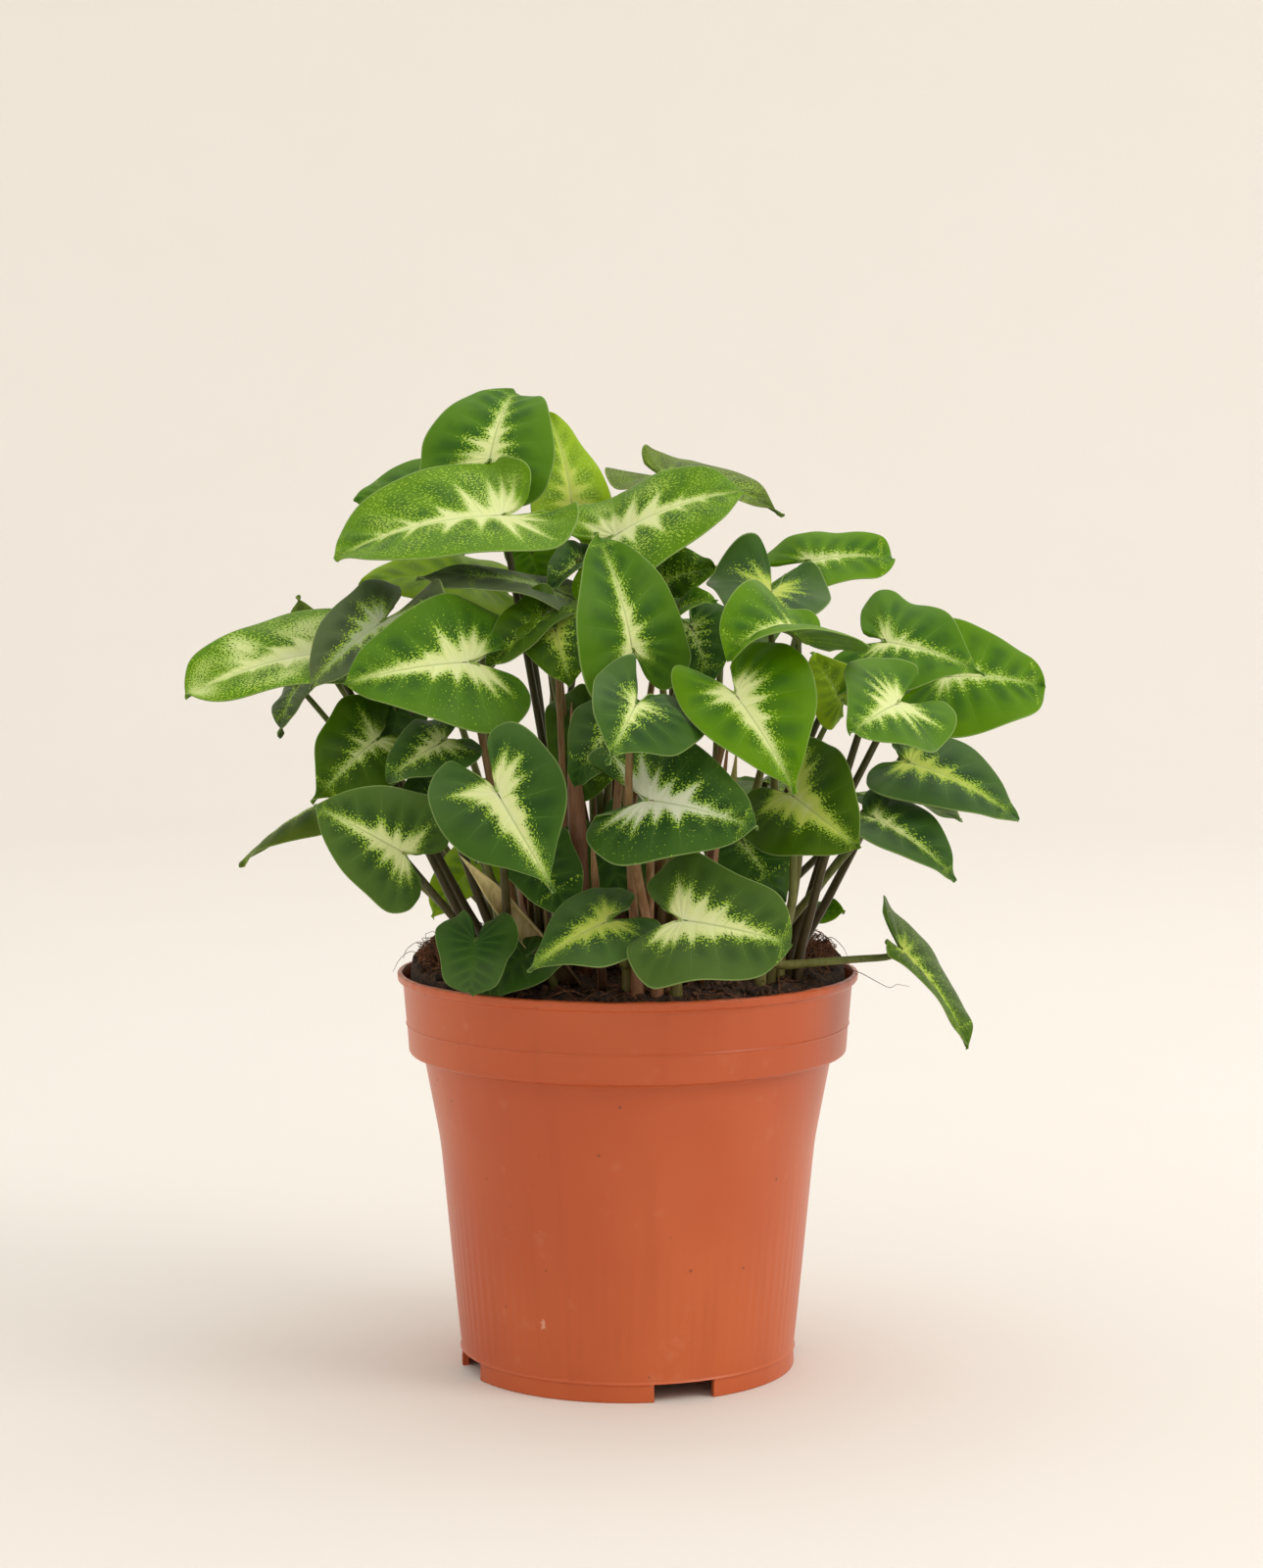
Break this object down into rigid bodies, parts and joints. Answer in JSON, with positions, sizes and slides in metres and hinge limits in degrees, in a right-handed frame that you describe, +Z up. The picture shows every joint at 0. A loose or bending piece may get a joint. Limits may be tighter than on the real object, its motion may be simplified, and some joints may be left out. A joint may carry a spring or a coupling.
{
  "type": "potted arrowhead plant",
  "caption": "Arrowhead plant with variegated heart-shaped leaves on thin stalks, growing in a soil-filled round plastic nursery pot with a stepped collar.",
  "frame": {"origin": "on the floor under the middle of the plant's width and depth, which is the pot's axis to within 2 mm", "axes": "+Z up along the pot's axis, +Y away from the picture's camera, +X to the camera's right"},
  "size_m": [0.2232, 0.1694, 0.2549],
  "materials": {
    "pot": "satin terracotta-coloured plastic",
    "soil": "rough dark coir and peat",
    "leaf": "satin green leaf with cream variegation"
  },
  "bodies": {
    "root": {"pot": "pot", "soil": "soil", "leaf_top_round": "leaf", "leaf_top_left": "leaf", "leaf_top_behind": "leaf", "leaf_top_right": "leaf", "leaf_top_right_dark": "leaf", "leaf_upper_left_back": "leaf", "leaf_far_left": "leaf", "leaf_left_grey": "leaf", "leaf_left_big": "leaf", "leaf_left_shaded": "leaf", "leaf_left_yellow": "leaf", "leaf_centre_dark": "leaf", "leaf_centre_tall": "leaf", "leaf_front_small": "leaf", "leaf_right_front": "leaf", "leaf_right_folded": "leaf", "leaf_right_upper": "leaf", "leaf_upper_right_back": "leaf", "leaf_right_dark": "leaf", "leaf_right_square": "leaf", "leaf_far_right": "leaf", "leaf_right_low": "leaf", "leaf_right_lower": "leaf", "leaf_rim_right": "leaf", "leaf_low_small_right": "leaf", "leaf_right_shaded": "leaf", "leaf_front_centre": "leaf", "leaf_front_behind": "leaf", "leaf_front_left": "leaf", "leaf_left_middle": "leaf", "leaf_left_inner": "leaf", "leaf_left_outer": "leaf", "leaf_left_low": "leaf", "leaf_left_rolled": "leaf", "leaf_left_hanging": "leaf", "leaf_left_peek": "leaf", "leaf_soil_heart": "leaf", "leaf_low_centre": "leaf", "leaf_low_right": "leaf", "leaf_under_front": "leaf", "leaf_low_yellow": "leaf", "leaf_low_shaded": "leaf", "leaf_mid_speckled": "leaf", "leaf_mid_dark": "leaf", "leaf_rear_top": "leaf", "leaf_rear_left_high": "leaf", "leaf_rear_mid_high": "leaf", "leaf_rear_right_high": "leaf", "leaf_rear_right": "leaf", "leaf_rear_left": "leaf", "leaf_rear_left_low": "leaf", "leaf_rear_mid": "leaf", "leaf_rear_right_low": "leaf", "leaf_rear_far_right": "leaf", "leaf_rear_low_left": "leaf", "leaf_rear_low_right": "leaf"}
  },
  "joints": []
}
